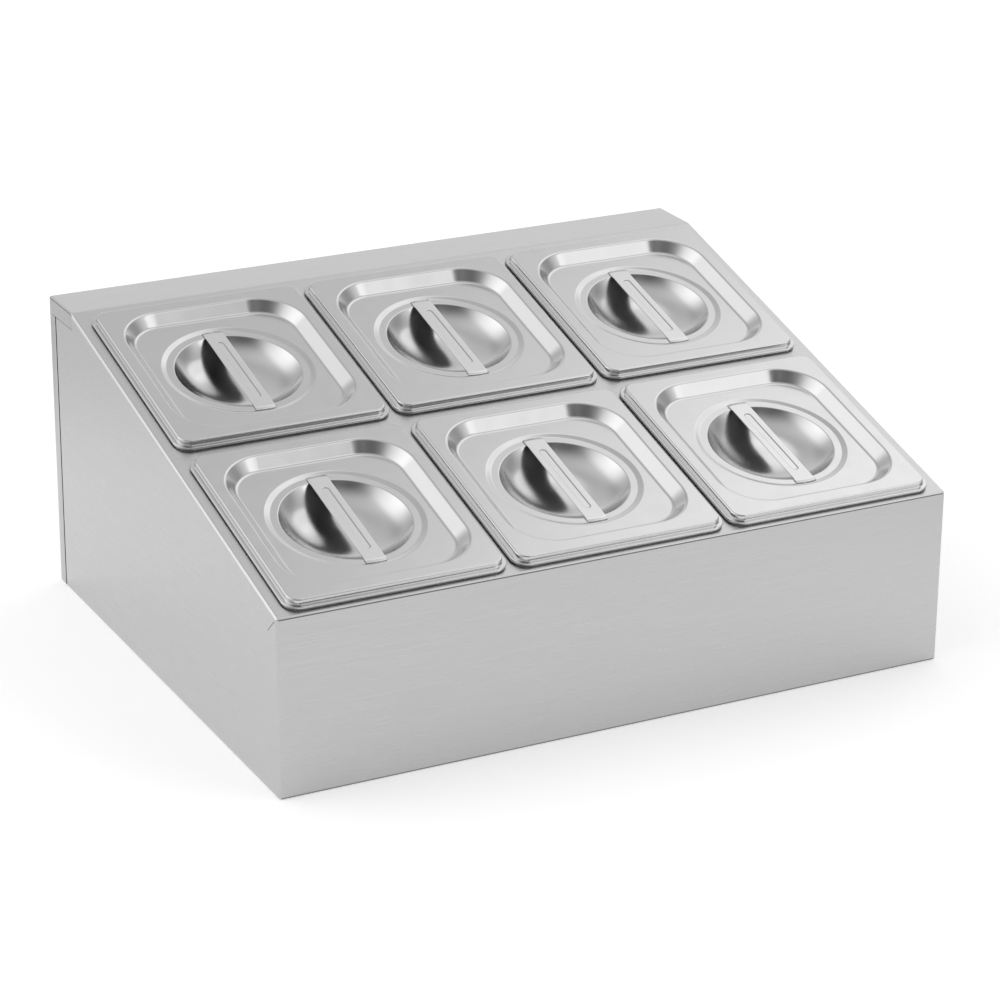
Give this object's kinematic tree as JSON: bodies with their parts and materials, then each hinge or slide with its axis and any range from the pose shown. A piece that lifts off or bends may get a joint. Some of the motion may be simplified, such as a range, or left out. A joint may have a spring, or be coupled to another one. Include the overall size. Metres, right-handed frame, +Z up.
{
  "type": "topping station",
  "caption": "Counter topping station: folded steel stand with a sloped deck that holds small lidded food pans, each lifting out, with a narrow shelf behind.",
  "frame": {"origin": "on the table, under the middle of the stand", "axes": "+X to the right along the rows as seen from the front, +Y to the back, +Z up"},
  "size_m": [0.51, 0.41, 0.2272],
  "materials": {
    "stand": "fine brushed, satin",
    "pan": "satin",
    "lid": "pressed, near mirror",
    "lid_handle": "satin"
  },
  "bodies": {
    "stand": {"top_sheet": "stand", "left_side_panel": "stand", "right_side_panel": "stand", "back_panel": "stand"},
    "pan_front_left": {"pan_front_left": "pan"},
    "lid_front_left": {"lid_front_left": "lid", "lid_handle_front_left": "lid_handle"},
    "pan_front_middle": {"pan_front_middle": "pan"},
    "lid_front_middle": {"lid_front_middle": "lid", "lid_handle_front_middle": "lid_handle"},
    "pan_front_right": {"pan_front_right": "pan"},
    "lid_front_right": {"lid_front_right": "lid", "lid_handle_front_right": "lid_handle"},
    "pan_back_left": {"pan_back_left": "pan"},
    "lid_back_left": {"lid_back_left": "lid", "lid_handle_back_left": "lid_handle"},
    "pan_back_middle": {"pan_back_middle": "pan"},
    "lid_back_middle": {"lid_back_middle": "lid", "lid_handle_back_middle": "lid_handle"},
    "pan_back_right": {"pan_back_right": "pan"},
    "lid_back_right": {"lid_back_right": "lid", "lid_handle_back_right": "lid_handle"}
  },
  "joints": [
    {"name": "pan_front_left_lift", "type": "slide", "parent": "stand", "child": "pan_front_left", "axis": [0, -0.2521, 0.9677], "range_m": [0, 0.12]},
    {"name": "lid_front_left_lift", "type": "slide", "parent": "pan_front_left", "child": "lid_front_left", "axis": [0, -0.2521, 0.9677], "range_m": [0, 0.04]},
    {"name": "pan_front_middle_lift", "type": "slide", "parent": "stand", "child": "pan_front_middle", "axis": [0, -0.2521, 0.9677], "range_m": [0, 0.12]},
    {"name": "lid_front_middle_lift", "type": "slide", "parent": "pan_front_middle", "child": "lid_front_middle", "axis": [0, -0.2521, 0.9677], "range_m": [0, 0.04]},
    {"name": "pan_front_right_lift", "type": "slide", "parent": "stand", "child": "pan_front_right", "axis": [0, -0.2521, 0.9677], "range_m": [0, 0.12]},
    {"name": "lid_front_right_lift", "type": "slide", "parent": "pan_front_right", "child": "lid_front_right", "axis": [0, -0.2521, 0.9677], "range_m": [0, 0.04]},
    {"name": "pan_back_left_lift", "type": "slide", "parent": "stand", "child": "pan_back_left", "axis": [0, -0.2521, 0.9677], "range_m": [0, 0.12]},
    {"name": "lid_back_left_lift", "type": "slide", "parent": "pan_back_left", "child": "lid_back_left", "axis": [0, -0.2521, 0.9677], "range_m": [0, 0.04]},
    {"name": "pan_back_middle_lift", "type": "slide", "parent": "stand", "child": "pan_back_middle", "axis": [0, -0.2521, 0.9677], "range_m": [0, 0.12]},
    {"name": "lid_back_middle_lift", "type": "slide", "parent": "pan_back_middle", "child": "lid_back_middle", "axis": [0, -0.2521, 0.9677], "range_m": [0, 0.04]},
    {"name": "pan_back_right_lift", "type": "slide", "parent": "stand", "child": "pan_back_right", "axis": [0, -0.2521, 0.9677], "range_m": [0, 0.12]},
    {"name": "lid_back_right_lift", "type": "slide", "parent": "pan_back_right", "child": "lid_back_right", "axis": [0, -0.2521, 0.9677], "range_m": [0, 0.04]}
  ]
}
